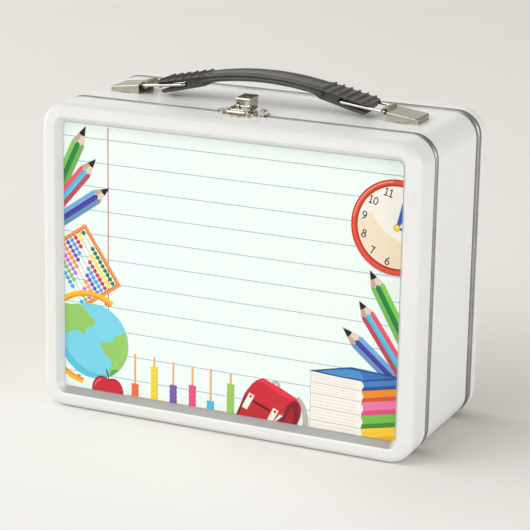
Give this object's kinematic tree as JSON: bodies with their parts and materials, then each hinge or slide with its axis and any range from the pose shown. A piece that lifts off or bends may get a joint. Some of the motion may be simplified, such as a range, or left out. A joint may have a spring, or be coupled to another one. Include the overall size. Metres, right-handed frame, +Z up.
{
  "type": "metal lunch box",
  "caption": "Tinplate lunch box with a bottom-hinged front cover, a top toggle latch and a lifting carrying handle.",
  "frame": {"origin": "centre of the base, on the surface that the box stands on", "axes": "+X to the viewer's right along the width, -Y out of the front cover, +Z up"},
  "size_m": [0.222, 0.103, 0.1922],
  "materials": {
    "body_band": "satin white enamel",
    "rear_cover": "satin white enamel",
    "front_neck_ring": "bare tinplate",
    "rear_neck_ring": "bare tinplate",
    "front_rim_bead": "bare tinplate",
    "rear_rim_bead": "bare tinplate",
    "hinge_pin": "bare steel wire",
    "bracket_left": "satin nickel plate",
    "bracket_right": "satin nickel plate",
    "latch_base": "nickel plate",
    "latch_base_rivets": "nickel plate",
    "latch_pivot_pin": "nickel plate",
    "front_cover": "satin white enamel",
    "print_panel": "printed gloss sheet",
    "hinge_strap_left": "bare tinplate",
    "hinge_strap_right": "bare tinplate",
    "latch_strike": "nickel plate",
    "strike_rivets": "nickel plate",
    "handle_grip": "satin moulded black",
    "handle_loop_left": "nickel-plated wire",
    "handle_loop_right": "nickel-plated wire",
    "latch_lever": "nickel plate",
    "latch_bail": "nickel-plated wire"
  },
  "bodies": {
    "case": {"body_band": "body_band", "rear_cover": "rear_cover", "front_neck_ring": "front_neck_ring", "rear_neck_ring": "rear_neck_ring", "front_rim_bead": "front_rim_bead", "rear_rim_bead": "rear_rim_bead", "hinge_pin": "hinge_pin", "bracket_left": "bracket_left", "bracket_right": "bracket_right", "latch_base": "latch_base", "latch_base_rivets": "latch_base_rivets", "latch_pivot_pin": "latch_pivot_pin"},
    "cover": {"front_cover": "front_cover", "print_panel": "print_panel", "hinge_strap_left": "hinge_strap_left", "hinge_strap_right": "hinge_strap_right", "latch_strike": "latch_strike", "strike_rivets": "strike_rivets"},
    "grip": {"handle_grip": "handle_grip"},
    "loop_left": {"handle_loop_left": "handle_loop_left"},
    "loop_right": {"handle_loop_right": "handle_loop_right"},
    "lever": {"latch_lever": "latch_lever"},
    "bail": {"latch_bail": "latch_bail"}
  },
  "joints": [
    {"name": "cover_hinge", "type": "hinge", "parent": "case", "child": "cover", "pos_m": [0, -0.026, 0.0021], "axis": [1, 0, 0], "range_deg": [0, 110]},
    {"name": "handle_lift", "type": "slide", "parent": "case", "child": "grip", "axis": [0, 0, 1], "range_m": [0, 0.018]},
    {"name": "loop_left_hinge", "type": "hinge", "parent": "case", "child": "loop_left", "pos_m": [-0.072, 0.002, 0.1789], "axis": [0, -1, 0], "range_deg": [0, 41.2]},
    {"name": "loop_right_hinge", "type": "hinge", "parent": "case", "child": "loop_right", "pos_m": [0.072, 0.002, 0.1789], "axis": [0, 1, 0], "range_deg": [0, 41.2]},
    {"name": "lever_hinge", "type": "hinge", "parent": "case", "child": "lever", "pos_m": [-0.001, -0.0242, 0.1777], "axis": [1, 0, 0], "range_deg": [0, 85]},
    {"name": "bail_hinge", "type": "hinge", "parent": "lever", "child": "bail", "pos_m": [-0.001, -0.0202, 0.1773], "axis": [1, 0, 0], "range_deg": [-119, 0]}
  ],
  "couplings": [
    {"joint": "loop_left_hinge", "follows": "handle_lift", "rad_per_m": 39.9},
    {"joint": "loop_right_hinge", "follows": "handle_lift", "rad_per_m": 39.9},
    {"joint": "bail_hinge", "follows": "lever_hinge", "ratio": -1.4}
  ]
}
